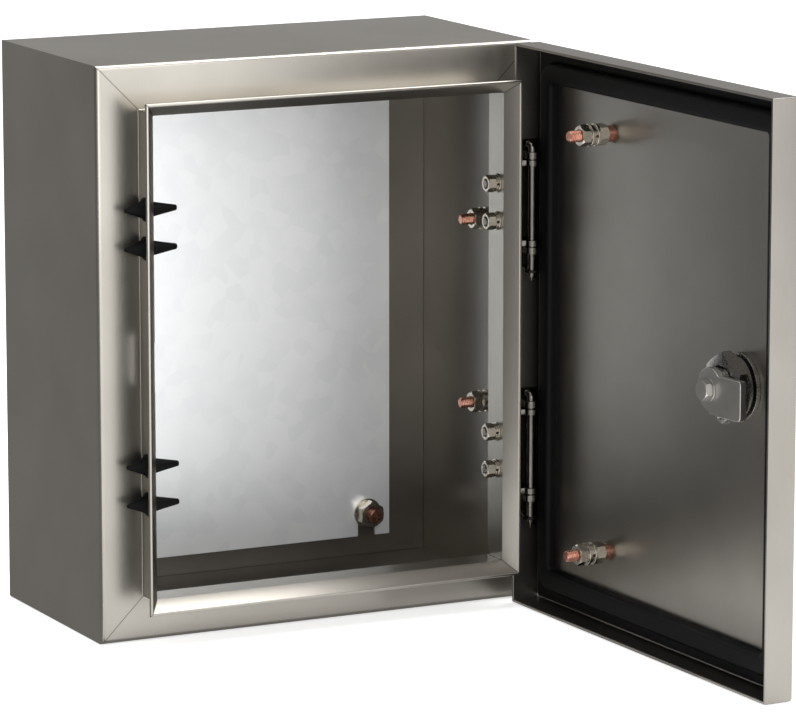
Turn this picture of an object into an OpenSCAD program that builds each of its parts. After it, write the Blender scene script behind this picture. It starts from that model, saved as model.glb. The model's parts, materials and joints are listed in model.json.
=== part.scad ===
// Steel wall enclosure with an inner mounting plate and a hinged, key-locked door.
// Frame: X to the right, -Y to the front, Z up. The origin is in the plane of the
// back face, at the centre of the four wall-fixing holes. Millimetres.
// The door and everything on it are drawn closed and then swung open by door_angle.

/* [Case] */
// Outer width of the case and of the door
case_w = 250; // [220:1:320]
// Outer height of the case and of the door
case_h = 300; // [270:1:400]
// Distance from the back face to the front frame
case_d = 124.5; // [110:0.5:180]
// Thickness of the case and door sheet
sheet_t = 1.5; // [1.2:0.1:1.7]
// Outer radius of the bends in the sheet
bend_r = 2.4; // [2:0.1:3]
// Distance of the wall-fixing holes from the case sides
wall_hole_margin = 30; // [26:0.5:31]
// Diameter of the wall-fixing holes
wall_hole_d = 8.5; // [6.5:0.1:9.5]

/* [Sealing rim] */
// Width of the front frame, from the case side to the rim wall
rim_inset = 23.6; // [23.2:0.1:24.4]
// Length of the straight rim wall in front of the frame
rim_straight = 15; // [14.8:0.1:15.4]
// Distance from the front frame to the very front of the rim
rim_height = 22.9; // [22.4:0.1:23.6]
// Thickness of the rim sheet
rim_t = 1.2; // [1:0.1:1.4]
// Radius of the rounded sealing edge
ridge_r = 1; // [0.8:0.1:1.1]
// How far the sealing edge leans out past the rim wall
ridge_overhang = 5; // [4.6:0.1:5.4]

/* [Door] */
// Depth of the door, from its outer face to the edge of its flange
door_flange = 17; // [16.6:0.1:18]
// Gap between the front frame and the edge of the door flange
door_standoff = 13.5; // [13.3:0.1:14]
// Distance of the sealing strip from the door edge
gasket_inset = 8.5; // [7.5:0.1:10]
// Gap left between the sealing strip and the rim when the door is shut
gasket_clear = 0.3; // [0.2:0.1:0.8]

/* [Hinges] */
// Distance of each hinge centre from the top or bottom of the case
hinge_margin = 83.5; // [80:0.5:88]
// Distance of the pin axis from the side of the case
pin_inset = 10; // [9.8:0.1:10.3]
// Distance of the pin axis from the outer face of the door
pin_back = 11.6; // [11.4:0.1:11.8]
// Diameter of the hinge pin
pin_d = 4; // [3.6:0.1:4.2]
// Half height of the hinge leaf on the case
leaf_half = 22.7; // [20:0.1:24]
// Distance between the two screws of one hinge
hinge_screw_pitch = 20; // [16:0.5:22]

/* [Mounting plate] */
// Distance of the mounting plate from the case sides
plate_margin_x = 32; // [28:0.5:40]
// Distance of the mounting plate from the top and bottom of the case
plate_margin_z = 16.5; // [12:0.5:24]
// Thickness of the mounting plate
plate_t = 2; // [1.5:0.1:2.5]
// Distance of the front of the mounting plate from the back face
plate_front = 20; // [16:0.5:30]
// Distance of the plate studs from the sides of the plate
stud_margin_x = 14; // [12:0.5:20]
// Distance of the plate studs from the top and bottom of the plate
stud_margin_z = 13; // [11:0.5:20]

/* [Earth studs] */
// Distance of the case earth studs from the back face
case_stud_y = 84; // [60:1:90]
// Distance of the case earth studs from the top and bottom of the case
case_stud_margin = 100; // [94:1:106]
// Distance of the door earth studs from the hinge edge of the door
door_stud_u = 71.5; // [60:0.5:90]
// Distance of the door earth studs from the top and bottom of the door
door_stud_margin = 40; // [36:0.5:60]

/* [Lock] */
// Distance of the lock axis from the free edge of the door
lock_inset = 48.5; // [48:0.1:49]
// How far the cam tip reaches past the outside of the rim wall
cam_engage = 0.6; // [0.2:0.1:1]
// Thickness of the cam
cam_t = 3.7; // [3.4:0.1:3.8]

/* [Hidden] */
$fn = 64;
cut = 1;
door_angle = 91.8;
fit = 0.05;
nut_play = 0.1;

steel = "#aaa69e";
plate_steel = "#d4d8dc";
zinc = "#b8b4ac";
copper = "#c07850";
rubber = "#151515";

// Case levels
frame_y = -case_d;
rim_front_y = frame_y - rim_height;
rim_bend_y = frame_y - rim_straight;
wall_x = case_w / 2 - rim_inset;
wall_in_x = wall_x - rim_t;
skirt = 2 * bend_r;
outer_bend_back = 0.5;
arc_steps = 6;

// Door levels with the door closed; depths count from the inner face of the panel
flange_y = frame_y - door_standoff;
door_y = flange_y - door_flange;
panel_y = door_y + sheet_t;
ridge_inset = rim_inset - ridge_overhang;
gasket_h = rim_front_y - panel_y - gasket_clear;
gasket_lap = 1.4;
gasket_w = ridge_inset + gasket_lap - gasket_inset;
gasket_r = 2.6;

// Hinge pin and the leaf screwed to the case
pin_x = case_w / 2 - pin_inset;
pin_y = door_y + pin_back;
pin_r = pin_d / 2;
hinge_z = case_h / 2 - hinge_margin;
lug_r = 3.6;
lug_h = 2.8;
leaf_t = 3.1;
leaf_frame_gap = 1.5;
leaf_bend_gap = 0.7;
leaf_back_y = frame_y - leaf_frame_gap;
leaf_front_y = rim_bend_y + leaf_bend_gap;
arm_t = 2.6;
arm_bend_gap = 0.5;
arm_nose_x = 2.4;
arm_nose_y = 2;
arm_back_y = rim_bend_y + arm_bend_gap;
arm_front_x = wall_x + arm_nose_x;
arm_front_y = rim_bend_y - arm_nose_y;

// Hinge bracket welded to the door flange
ear_h = 3.6;
ear_gap = 0.8;
ear_z = leaf_half + ear_gap;
bracket_t = 1.5;
bracket_x = case_w / 2 - sheet_t - bracket_t;
bracket_front = 7.6;
bracket_back = 2.4;
bracket_front_y = pin_y - bracket_front;
bracket_back_y = pin_y + bracket_back;
bracket_top = 32.8;
bracket_low = 42;
bracket_bevel = 8;

// Hinge pin: bent over at the top, pointed below its clip
hook_r = 2.6;
hook_gap = 1.2;
hook_z = ear_z + ear_h + hook_gap;
hook_len = 1.6;
clip_r = 4;
clip_t = 1.2;
clip_gap = 2.4;
clip_drop = 9.8;
clip_z = -ear_z - ear_h - clip_drop;
groove_r = 1.4;
groove_play = 0.1;
tip_gap = 1.4;
tip_z = clip_z - tip_gap;
tip_h = 3.4;
tip_r = 0.4;
bend_wire_r = pin_r - fit;
bend_lap = 0.3;

// Hinge screws, and the plugs in the same holes on the other side
screw_y = (leaf_back_y + leaf_front_y) / 2;
screw_d = 5;
screw_head_d = 9.4;
screw_head_h = 2.6;
screw_hole_d = 6;
screw_chamfer = 0.7;
screw_socket_r = 1.7;
hinge_washer_d = 10;
hinge_washer_t = 1;
hinge_spring_d = 9;
hinge_spring_t = 1.2;
split_w = 1.2;
screw_nut_af = 8;
screw_nut_h = 4.7;
screw_end = 0.4;
screw_stack = hinge_washer_t + hinge_spring_t + screw_nut_h;
plug_disc_d = 12.5;
plug_disc_t = 1;
plug_edge_t = 0.8;
plug_out = 12;
plug_out_d = 10.4;
plug_out_tip_d = 2;
plug_in = 15.7;
plug_in_d = 8.5;
plug_tip_d = 3;
plug_neck_d = 5.8;

// Studs and nuts of the mounting plate
plate_w = case_w - 2 * plate_margin_x;
plate_h = case_h - 2 * plate_margin_z;
stud_x = plate_w / 2 - stud_margin_x;
stud_z = plate_h / 2 - stud_margin_z;
plate_stud_d = 8;
plate_stud_over = 12.3;
shoulder_d = 12;
plate_notch_w = 10.6;
plate_washer_d = 16;
plate_washer_t = 1.6;
plate_nut_af = 13;
plate_nut_h = 6.5;
stud_chamfer = 0.8;

// Earth studs: copper stud, washers and nuts
earth_d = 6;
earth_tip = 6.4;
earth_nut_af = 10;
earth_nut_h = 5.2;
earth_base_nut_h = 5.6;
earth_washer_d = 12;
earth_washer_t = 1.4;
earth_spring_d = 10.4;
earth_spring_t = 2;
earth_stack = 2 * earth_washer_t + earth_spring_t;
case_stud_z = case_h / 2 - case_stud_margin;
earth_collar_d = 8.4;
case_stud_len = 20;
door_stud_len = 24.5;

// Lock; depths count from the inner face of the door panel
lock_x = -case_w / 2 + lock_inset;
lock_hole_d = 22.5;
lock_hole_flat = 20.3;
barrel_d = 22;
barrel_flat = 20;
bezel_d = 32;
bezel_h = 5;
bezel_chamfer = 1.5;
lock_washer_d = 34;
lock_washer_t = 2.2;
lock_seal_d = 31;
lock_seal_t = 1.2;
lock_nut_af = 32;
lock_nut_base_d = 31.5;
lock_nut_base_h = 2.1;
lock_nut_h = 7.4;
lock_nut_chamfer = 1.6;
nut_z = lock_washer_t + lock_seal_t;
nut_top = nut_z + lock_nut_base_h + lock_nut_h;
barrel_over = 0.4;
barrel_top = nut_top + barrel_over;
insert_d = 15.5;
shaft_d = 14;
key_ring_d = 9.4;
key_pin_d = 5;
key_bit_w = 3;
key_bit_span = 12.6;
key_depth = 8;
square_af = 8;
stop_r = 12.5;
stop_play = 0.3;
stop_z = barrel_top + stop_play;
stop_t = 2.1;
stop_side = 9.5;
cam_z = stop_z + stop_t;
cam_front = cam_z + cam_t;
cam_reach = lock_inset - rim_inset + cam_engage;
cam_hub_r = 11;
cam_fold = 8.3;
cam_tilt = 6.5;
cam_high = 7.8;
cam_low = -12.5;
cam_leg_low = -13.4;
cam_corner_r = 2;
cam_washer_d = 12;
cam_washer_t = 0.8;
bolt_d = 6;
bolt_len = 10;
bolt_play = 0.3;
bolt_af = 10;
bolt_head_h = 4;

// Keeper slot for the cam, in the rim wall on the lock side
keeper_lead = 0.7;
keeper_front_y = rim_bend_y - keeper_lead;
keeper_w = 5.2;
keeper_play_top = 1.2;
keeper_play_low = 3.4;
keeper_top = cam_high + keeper_play_top;
keeper_low = cam_leg_low - keeper_play_low;

// ---------- shared shapes ----------

// Points along an arc from angle a to angle b
function arc(centre, r, a, b) =
    [for (k = [0 : arc_steps]) centre + r * [cos(a + (b - a) * k / arc_steps), sin(a + (b - a) * k / arc_steps)]];

// Angle from p to the point where a line through p touches a circle
function touch_angle(p, c, r, side) = atan2(c[1] - p[1], c[0] - p[0]) + side * asin(r / norm(c - p));

// Hexagonal head along +Z with its outer corners chamfered
module hex_head(af, h, chamfer = 0.6) {
    corner_r = af / 2 / cos(30);
    intersection() {
        cylinder(h = h, r = corner_r, $fn = 6);
        union() {
            cylinder(h = h - chamfer, r = corner_r + cut);
            translate([0, 0, h - chamfer])
                cylinder(h = chamfer, r1 = corner_r + nut_play, r2 = af / 2 - nut_play);
        }
    }
}

// Hexagonal nut along +Z
module hex_nut(af, h, bore, chamfer = 0.6) {
    difference() {
        hex_head(af, h, chamfer);
        translate([0, 0, -cut])
            cylinder(h = h + 2 * cut, d = bore);
    }
}

// Flat ring along +Z
module ring(d, h, bore) {
    difference() {
        cylinder(h = h, d = d);
        translate([0, 0, -cut])
            cylinder(h = h + 2 * cut, d = bore);
    }
}

// Ring along +Z with one cut through it
module split_ring(d, h, bore, gap) {
    difference() {
        ring(d, h, bore);
        translate([0, -gap / 2, -cut])
            cube([d, gap, h + 2 * cut]);
    }
}

// Round bar along +Z with a chamfered end
module stud_bar(d, length) {
    cylinder(h = length - stud_chamfer, d = d);
    translate([0, 0, length - stud_chamfer])
        cylinder(h = stud_chamfer, d1 = d, d2 = d - 2 * stud_chamfer);
}

// Round bar with two flats, along +Z
module flatted_bar(d, flat, h) {
    intersection() {
        cylinder(h = h, d = d);
        translate([-d, -flat / 2, 0])
            cube([2 * d, flat, h]);
    }
}

// One side of a mitred frame: the section gives (distance in from the edge, distance forward)
module mitred_side(edge, length, reach) {
    intersection() {
        translate([edge, 0, -length / 2])
            rotate([0, 0, 180])
                linear_extrude(height = length)
                    children();
        rotate([90, 0, 0])
            linear_extrude(height = 2 * case_d)
                polygon([[edge, -length / 2], [edge, length / 2],
                    [edge - reach, length / 2 - reach], [edge - reach, reach - length / 2]]);
    }
}

// Four mitred sides around a case_w by case_h opening
module mitred_frame(reach) {
    for (turn = [0, 180])
        rotate([0, turn, 0])
            mitred_side(case_w / 2, case_h, reach)
                children();
    for (turn = [90, 270])
        rotate([0, turn, 0])
            mitred_side(case_h / 2, case_w, reach)
                children();
}

// ---------- case ----------

// Section of the front: bent edge, front frame, rim wall and rounded sealing edge
module front_section() {
    bend = [bend_r, case_d - bend_r];
    ridge = [ridge_inset, case_d + rim_height - ridge_r];
    outer = [rim_inset, case_d + rim_straight - outer_bend_back];
    inner = [rim_inset + rim_t, case_d + rim_straight];
    outer_a = touch_angle(outer, ridge, ridge_r, 1) + 90;
    inner_a = touch_angle(inner, ridge, ridge_r, -1) - 90;
    polygon(concat(
        [[0, case_d - skirt]],
        arc(bend, bend_r, 180, 90),
        [[rim_inset, case_d], outer],
        arc(ridge, ridge_r, outer_a, inner_a),
        [inner, [rim_inset + rim_t, case_d - sheet_t]],
        arc(bend, bend_r - sheet_t, 90, 180),
        [[sheet_t, case_d - skirt]]));
}

// Copies at the four hinge screw places of one side, at height z and pointing along +X
module at_hinge_screws(x) {
    for (s = [-1, 1], k = [-1, 1])
        translate([x, screw_y, s * hinge_z + k * hinge_screw_pitch / 2])
            rotate([0, 90, 0])
                children();
}

module case_wrapper_and_rim() {
    color(steel)
        difference() {
            union() {
                difference() {
                    translate([-case_w / 2, skirt - case_d, -case_h / 2])
                        cube([case_w, case_d - skirt, case_h]);
                    translate([sheet_t - case_w / 2, -case_d, sheet_t - case_h / 2])
                        cube([case_w - 2 * sheet_t, case_d + cut, case_h - 2 * sheet_t]);
                }
                mitred_frame(rim_inset + rim_t + cut)
                    front_section();
            }
            for (x = [wall_in_x - cut, -wall_x - cut])
                at_hinge_screws(x)
                    cylinder(h = rim_t + 2 * cut, d = screw_hole_d);
            translate([-wall_x - cut, keeper_front_y, keeper_low])
                cube([rim_t + 2 * cut, keeper_w, keeper_top - keeper_low]);
        }
}

module back_panel() {
    hole_x = case_w / 2 - wall_hole_margin;
    hole_z = case_h / 2 - wall_hole_margin;
    color(steel)
        difference() {
            translate([sheet_t - case_w / 2, -sheet_t, sheet_t - case_h / 2])
                cube([case_w - 2 * sheet_t, sheet_t, case_h - 2 * sheet_t]);
            for (x = [-hole_x, hole_x], z = [-hole_z, hole_z])
                translate([x, cut, z])
                    rotate([90, 0, 0])
                        cylinder(h = sheet_t + 2 * cut, d = wall_hole_d);
        }
}

// ---------- mounting plate ----------

// Copies at the four plate studs, pointing forward from depth y
module at_plate_studs(y) {
    for (x = [-stud_x, stud_x], z = [-stud_z, stud_z])
        translate([x, -y, z])
            rotate([90, 0, 0])
                children();
}

module mounting_plate() {
    color(plate_steel)
        difference() {
            translate([-plate_w / 2, -plate_front, -plate_h / 2])
                cube([plate_w, plate_t, plate_h]);
            at_plate_studs(plate_front - plate_t - cut)
                cylinder(h = plate_t + 2 * cut, d = plate_notch_w);
            for (x = [-stud_x, stud_x], s = [-1, 1])
                translate([x - plate_notch_w / 2, -plate_front - cut, s * stud_z - (1 - s) / 2 * stud_z])
                    cube([plate_notch_w, plate_t + 2 * cut, stud_z]);
        }
}

module plate_studs() {
    shoulder = plate_front - plate_t - sheet_t;
    color(copper)
        at_plate_studs(sheet_t) {
            cylinder(h = shoulder, d = shoulder_d);
            stud_bar(plate_stud_d, shoulder + plate_t + plate_stud_over);
        }
}

module plate_washers() {
    color(zinc)
        at_plate_studs(plate_front)
            ring(plate_washer_d, plate_washer_t, plate_stud_d + 2 * fit);
}

module plate_nuts() {
    color(zinc)
        at_plate_studs(plate_front + plate_washer_t)
            hex_nut(plate_nut_af, plate_nut_h, plate_stud_d + 2 * fit, 1);
}

// ---------- earth studs ----------

// Stud along +Z: a collar welded to the sheet, then the threaded bar
module earth_stud(length, collar) {
    cylinder(h = collar, d = earth_collar_d);
    stud_bar(earth_d, length);
}

// Two flat washers with room for the spring washer between them
module earth_flat_washers() {
    for (z = [0, earth_washer_t + earth_spring_t])
        translate([0, 0, z])
            ring(earth_washer_d, earth_washer_t, earth_d + 2 * fit);
}

module earth_spring_washer() {
    translate([0, 0, earth_washer_t])
        split_ring(earth_spring_d, earth_spring_t, earth_d + 2 * fit, split_w);
}

// Copies at the two case earth studs, starting at distance h from the side wall
module at_case_studs(h) {
    for (z = [-case_stud_z, case_stud_z])
        translate([case_w / 2 - sheet_t - h, -case_stud_y, z])
            rotate([0, -90, 0])
                children();
}

case_collar = case_stud_len - earth_tip - earth_nut_h - earth_stack;
door_collar = door_stud_len - earth_tip - earth_nut_h - earth_stack - earth_base_nut_h;

module case_earth_studs() {
    color(copper)
        at_case_studs(0)
            earth_stud(case_stud_len, case_collar);
}

module case_earth_flat_washers() {
    color(zinc)
        at_case_studs(case_collar)
            earth_flat_washers();
}

module case_earth_spring_washers() {
    color(zinc)
        at_case_studs(case_collar)
            earth_spring_washer();
}

module case_earth_nuts() {
    color(zinc)
        at_case_studs(case_collar + earth_stack)
            hex_nut(earth_nut_af, earth_nut_h, earth_d + 2 * fit);
}

// ---------- hinge parts on the case ----------

// Rubber plug along +X: a disc outside the wall and a cone on each side
module plug() {
    rotate_extrude()
        polygon([[0, -plug_out], [plug_out_tip_d / 2, -plug_out], [plug_out_d / 2, -plug_disc_t],
            [plug_disc_d / 2, -plug_edge_t], [plug_disc_d / 2, 0], [plug_neck_d / 2, 0],
            [plug_neck_d / 2, rim_t], [plug_in_d / 2, rim_t],
            [plug_tip_d / 2, rim_t + plug_in], [0, rim_t + plug_in]]);
}

module hinge_hole_plugs() {
    color(rubber)
        at_hinge_screws(-wall_x)
            plug();
}

// Arm from the leaf to the pin, seen from above
module arm_outline() {
    reach = [pin_x - wall_x - leaf_t, pin_y - arm_back_y];
    side = arm_t / 2 * [reach[1], -reach[0]] / norm(reach);
    polygon([[wall_x, leaf_back_y], [wall_x + leaf_t, leaf_back_y],
        [wall_x + leaf_t, arm_back_y], [pin_x, pin_y] - side, [pin_x, pin_y] + side,
        [arm_front_x, arm_front_y], [wall_x, leaf_front_y]]);
    translate([pin_x, pin_y])
        circle(lug_r);
}

module hinge_leaf(z) {
    color(zinc)
        translate([0, 0, z])
            difference() {
                union() {
                    translate([wall_x, leaf_front_y, -leaf_half])
                        cube([leaf_t, leaf_back_y - leaf_front_y, 2 * leaf_half]);
                    for (low = [-leaf_half, leaf_half - lug_h])
                        translate([0, 0, low])
                            linear_extrude(height = lug_h)
                                arm_outline();
                }
                translate([pin_x, pin_y, -leaf_half - cut])
                    cylinder(h = 2 * leaf_half + 2 * cut, r = pin_r + fit);
                for (k = [-1, 1])
                    translate([wall_x, screw_y, k * hinge_screw_pitch / 2])
                        rotate([0, 90, 0]) {
                            translate([0, 0, -cut])
                                cylinder(h = leaf_t + cut, d = screw_d + 2 * fit);
                            translate([0, 0, leaf_t - screw_head_h - fit])
                                cylinder(h = screw_head_h + fit, d1 = screw_d, d2 = screw_head_d + 2 * fit);
                            translate([0, 0, leaf_t])
                                cylinder(h = cut, d = screw_head_d + 2 * fit);
                        }
            }
}

// Countersunk screws from outside; they end just past the nuts
module hinge_screws() {
    length = leaf_t + rim_t + screw_stack + screw_end;
    color(zinc)
        at_hinge_screws(wall_x + leaf_t - length)
            difference() {
                union() {
                    cylinder(h = screw_chamfer, d1 = screw_d - 2 * screw_chamfer, d2 = screw_d);
                    translate([0, 0, screw_chamfer])
                        cylinder(h = length - screw_chamfer, d = screw_d);
                    translate([0, 0, length - screw_head_h])
                        cylinder(h = screw_head_h, d1 = screw_d, d2 = screw_head_d);
                }
                translate([0, 0, length - screw_head_h / 2])
                    cylinder(h = screw_head_h, r = screw_socket_r, $fn = 6);
            }
}

module hinge_flat_washers() {
    color(zinc)
        at_hinge_screws(wall_in_x - hinge_washer_t)
            ring(hinge_washer_d, hinge_washer_t, screw_d + 2 * fit);
}

module hinge_spring_washers() {
    color(zinc)
        at_hinge_screws(wall_in_x - hinge_washer_t - hinge_spring_t)
            split_ring(hinge_spring_d, hinge_spring_t, screw_d + 2 * fit, split_w);
}

module hinge_screw_nuts() {
    color(zinc)
        at_hinge_screws(wall_in_x - hinge_washer_t - hinge_spring_t)
            rotate([180, 0, 0])
                hex_nut(screw_nut_af, screw_nut_h, screw_d + 2 * fit);
}

// ---------- door ----------

// Swings a part of the closed door to its open place
module open_door() {
    translate([pin_x, pin_y, 0])
        rotate([0, 0, door_angle])
            translate([-pin_x, -pin_y, 0])
                children();
}

// Section of the door edge: flange, bend and the start of the panel
module door_section() {
    bend = [bend_r, -door_y - bend_r];
    polygon(concat(
        [[0, -flange_y]],
        arc(bend, bend_r, 180, 90),
        [[skirt, -door_y], [skirt, -panel_y]],
        arc(bend, bend_r - sheet_t, 90, 180),
        [[sheet_t, -flange_y]]));
}

module door_pan() {
    color(steel)
        open_door()
            difference() {
                union() {
                    mitred_frame(skirt)
                        door_section();
                    translate([skirt - case_w / 2, door_y, skirt - case_h / 2])
                        cube([case_w - 2 * skirt, sheet_t, case_h - 2 * skirt]);
                }
                translate([lock_x, panel_y + cut, 0])
                    rotate([90, 0, 0])
                        flatted_bar(lock_hole_d, lock_hole_flat, sheet_t + 2 * cut);
            }
}

// Section of the sealing strip on the inside of the door panel
module strip_section() {
    right = gasket_inset + gasket_w;
    low = -panel_y;
    high = -panel_y - gasket_h;
    polygon(concat(
        [[gasket_inset, low]],
        arc([gasket_inset + gasket_r, high + gasket_r], gasket_r, 180, 270),
        arc([right - gasket_r, high + gasket_r], gasket_r, 270, 360),
        [[right, low]]));
}

module door_sealing_strip() {
    color(rubber)
        open_door()
            mitred_frame(gasket_inset + gasket_w + cut)
                strip_section();
}

// Bracket on the door: a strip along the flange with two ears that hold the pin
module hinge_bracket(z) {
    color(zinc)
        open_door()
            translate([0, 0, z])
                difference() {
                    union() {
                        translate([bracket_x, 0, 0])
                            rotate([90, 0, 90])
                                linear_extrude(height = bracket_t)
                                    polygon([[bracket_front_y, bracket_top], [bracket_back_y, bracket_top],
                                        [bracket_back_y, bracket_bevel - bracket_low],
                                        [bracket_back_y - bracket_bevel, -bracket_low],
                                        [bracket_front_y, -bracket_low]]);
                        for (low = [ear_z, -ear_z - ear_h])
                            translate([0, 0, low]) {
                                translate([pin_x, pin_y, 0])
                                    cylinder(h = ear_h, r = lug_r);
                                translate([pin_x, pin_y - lug_r, 0])
                                    cube([bracket_x - pin_x, lug_r + bracket_back_y - pin_y, ear_h]);
                            }
                    }
                    translate([pin_x, pin_y, -ear_z - ear_h - cut])
                        cylinder(h = 2 * (ear_z + ear_h + cut), r = pin_r + fit);
                }
}

module hinge_pin(z) {
    groove_low = clip_z - groove_play;
    groove_high = clip_z + clip_t + groove_play;
    color(zinc)
        open_door()
            translate([pin_x, pin_y, z]) {
                rotate_extrude()
                    polygon([[0, tip_z - tip_h], [tip_r, tip_z - tip_h], [pin_r, tip_z],
                        [pin_r, groove_low], [groove_r, groove_low], [groove_r, groove_high],
                        [pin_r, groove_high], [pin_r, hook_z], [0, hook_z]]);
                translate([hook_r, 0, hook_z - bend_lap])
                    rotate([90, 0, 0])
                        rotate([0, 0, 90])
                            rotate_extrude(angle = 90)
                                translate([hook_r, 0])
                                    circle(bend_wire_r);
                translate([hook_r - bend_lap, 0, hook_z - bend_lap + hook_r])
                    rotate([0, 90, 0])
                        cylinder(h = bend_lap + hook_len, r = pin_r);
            }
}

// Spring clips in the pin grooves, open on one side
module hinge_pin_clips() {
    color(rubber)
        open_door()
            for (s = [-1, 1])
                translate([pin_x, pin_y, s * hinge_z + clip_z])
                    difference() {
                        ring(2 * clip_r, clip_t, 2 * groove_r + 2 * fit);
                        translate([0, -clip_gap / 2, -cut])
                            cube([2 * clip_r, clip_gap, clip_t + 2 * cut]);
                    }
}

// Copies at the two door earth studs, starting at depth h inside the panel
module at_door_studs(h) {
    for (s = [-1, 1])
        translate([case_w / 2 - door_stud_u, panel_y + h, s * (case_h / 2 - door_stud_margin)])
            rotate([-90, 0, 0])
                children();
}

module door_earth_studs() {
    color(copper)
        open_door()
            at_door_studs(0)
                earth_stud(door_stud_len, door_collar);
}

module door_earth_base_nuts() {
    color(zinc)
        open_door()
            at_door_studs(door_collar)
                hex_nut(earth_nut_af, earth_base_nut_h, earth_d + 2 * fit);
}

module door_earth_flat_washers() {
    color(zinc)
        open_door()
            at_door_studs(door_collar + earth_base_nut_h)
                earth_flat_washers();
}

module door_earth_spring_washers() {
    color(zinc)
        open_door()
            at_door_studs(door_collar + earth_base_nut_h)
                earth_spring_washer();
}

module door_earth_end_nuts() {
    color(zinc)
        open_door()
            at_door_studs(door_collar + earth_base_nut_h + earth_stack)
                hex_nut(earth_nut_af, earth_nut_h, earth_d + 2 * fit);
}

// ---------- lock ----------

// Lock frame: X to the free edge of the door, Y up, Z from the panel into the case
module on_lock(h) {
    open_door()
        translate([lock_x, panel_y, 0])
            rotate([90, 0, 180])
                translate([0, 0, h])
                    children();
}

// Bezel outside the door and the flatted, threaded barrel through it
module lock_housing() {
    color(zinc)
        on_lock(0)
            difference() {
                union() {
                    translate([0, 0, -sheet_t - bezel_h + bezel_chamfer])
                        cylinder(h = bezel_h - bezel_chamfer, d = bezel_d);
                    translate([0, 0, -sheet_t - bezel_h])
                        cylinder(h = bezel_chamfer, d1 = bezel_d - 2 * bezel_chamfer, d2 = bezel_d);
                    translate([0, 0, -sheet_t])
                        flatted_bar(barrel_d, barrel_flat, barrel_top + sheet_t);
                }
                translate([0, 0, -sheet_t - bezel_h - cut])
                    cylinder(h = bezel_h + key_depth + cut, d = insert_d + 2 * fit);
                translate([0, 0, -cut])
                    cylinder(h = barrel_top + 2 * cut, d = shaft_d + 2 * fit);
            }
}

module lock_washer() {
    color(zinc)
        on_lock(0)
            ring(lock_washer_d, lock_washer_t, barrel_d + 2 * fit);
}

module lock_seal_ring() {
    color(rubber)
        on_lock(lock_washer_t)
            ring(lock_seal_d, lock_seal_t, barrel_d + 2 * fit);
}

// Large hexagonal nut on a round base, corners up and down
module lock_nut() {
    height = lock_nut_base_h + lock_nut_h;
    color(zinc)
        on_lock(nut_z)
            difference() {
                union() {
                    cylinder(h = lock_nut_base_h + cut, d = lock_nut_base_d);
                    translate([0, 0, lock_nut_base_h])
                        rotate([0, 0, 30])
                            hex_head(lock_nut_af, lock_nut_h, lock_nut_chamfer);
                }
                translate([0, 0, -cut])
                    cylinder(h = height + 2 * cut, d = barrel_d + 2 * fit);
            }
}

// Turning core: key face outside, shaft through the barrel, square end for the cam
module lock_key_insert() {
    core_z = -sheet_t - bezel_h + 0.6;
    bore_end = key_depth - sheet_t - 2 * fit;
    color(zinc)
        on_lock(0)
            difference() {
                union() {
                    translate([0, 0, core_z])
                        cylinder(h = bore_end - core_z, d = insert_d);
                    cylinder(h = stop_z, d = shaft_d);
                    translate([-square_af / 2, -square_af / 2, 0])
                        cube([square_af, square_af, cam_front]);
                }
                translate([0, 0, core_z - cut]) {
                    ring(key_ring_d, key_depth + cut, key_pin_d);
                    difference() {
                        translate([-key_bit_span / 2, -key_bit_w / 2, 0])
                            cube([key_bit_span, key_bit_w, key_depth + cut]);
                        cylinder(h = key_depth + cut, d = key_pin_d);
                    }
                }
                translate([0, 0, cam_front - bolt_len])
                    cylinder(h = bolt_len + cut, d = bolt_d + 2 * fit);
            }
}

// Square hole for the turning shaft
module shaft_hole(h) {
    side = square_af + 2 * fit;
    translate([-side / 2, -side / 2, -cut])
        cube([side, side, h + 2 * cut]);
}

// Disc with one straight side that limits the quarter turn
module lock_stop_disc() {
    color(zinc)
        on_lock(stop_z)
            difference() {
                cylinder(h = stop_t, r = stop_r);
                translate([-2 * stop_r, stop_side, -cut])
                    cube([4 * stop_r, stop_r, stop_t + 2 * cut]);
                translate([cam_fold, -2 * stop_r, -cut])
                    cube([stop_r, 4 * stop_r, stop_t + 2 * cut]);
                shaft_hole(stop_t);
            }
}

// Outline of the cam seen along the lock axis
module cam_outline() {
    circle(cam_hub_r);
    polygon([[-cam_hub_r * cos(45), -cam_hub_r * sin(45)], [cam_fold, cam_leg_low],
        [cam_fold, cam_high], [0, cam_hub_r]]);
    difference() {
        translate([0, cam_low])
            square([cam_reach, cam_high - cam_low]);
        for (s = [-1, 1])
            translate([cam_reach, (cam_high + cam_low) / 2 + s * (cam_high - cam_low) / 2])
                mirror([0, (s + 1) / 2])
                    translate([-cam_corner_r, 0])
                        difference() {
                            square(cam_corner_r);
                            translate([0, cam_corner_r])
                                circle(cam_corner_r);
                        }
    }
}

// Cam: a flat leg on the shaft, then a tab that leans back toward the panel
module lock_cam() {
    drop = (cam_reach - cam_fold) * tan(cam_tilt);
    color(zinc)
        on_lock(0)
            difference() {
                intersection() {
                    linear_extrude(height = 2 * cam_front)
                        cam_outline();
                    translate([0, 2 * cam_hub_r, 0])
                        rotate([90, 0, 0])
                            linear_extrude(height = 4 * cam_hub_r)
                                polygon([[-2 * cam_hub_r, cam_z], [cam_fold, cam_z],
                                    [cam_reach, cam_z - drop], [cam_reach, cam_front - drop],
                                    [cam_fold, cam_front], [-2 * cam_hub_r, cam_front]]);
                }
                translate([0, 0, cam_z])
                    shaft_hole(cam_t);
            }
}

module lock_cam_washer() {
    color(zinc)
        on_lock(cam_front)
            ring(cam_washer_d, cam_washer_t, bolt_d + 2 * fit);
}

module lock_cam_bolt() {
    color(zinc)
        on_lock(cam_front) {
            translate([0, 0, cam_washer_t])
                hex_head(bolt_af, bolt_head_h);
            translate([0, 0, bolt_play - bolt_len])
                cylinder(h = bolt_len + cam_washer_t, d = bolt_d);
        }
}

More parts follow.
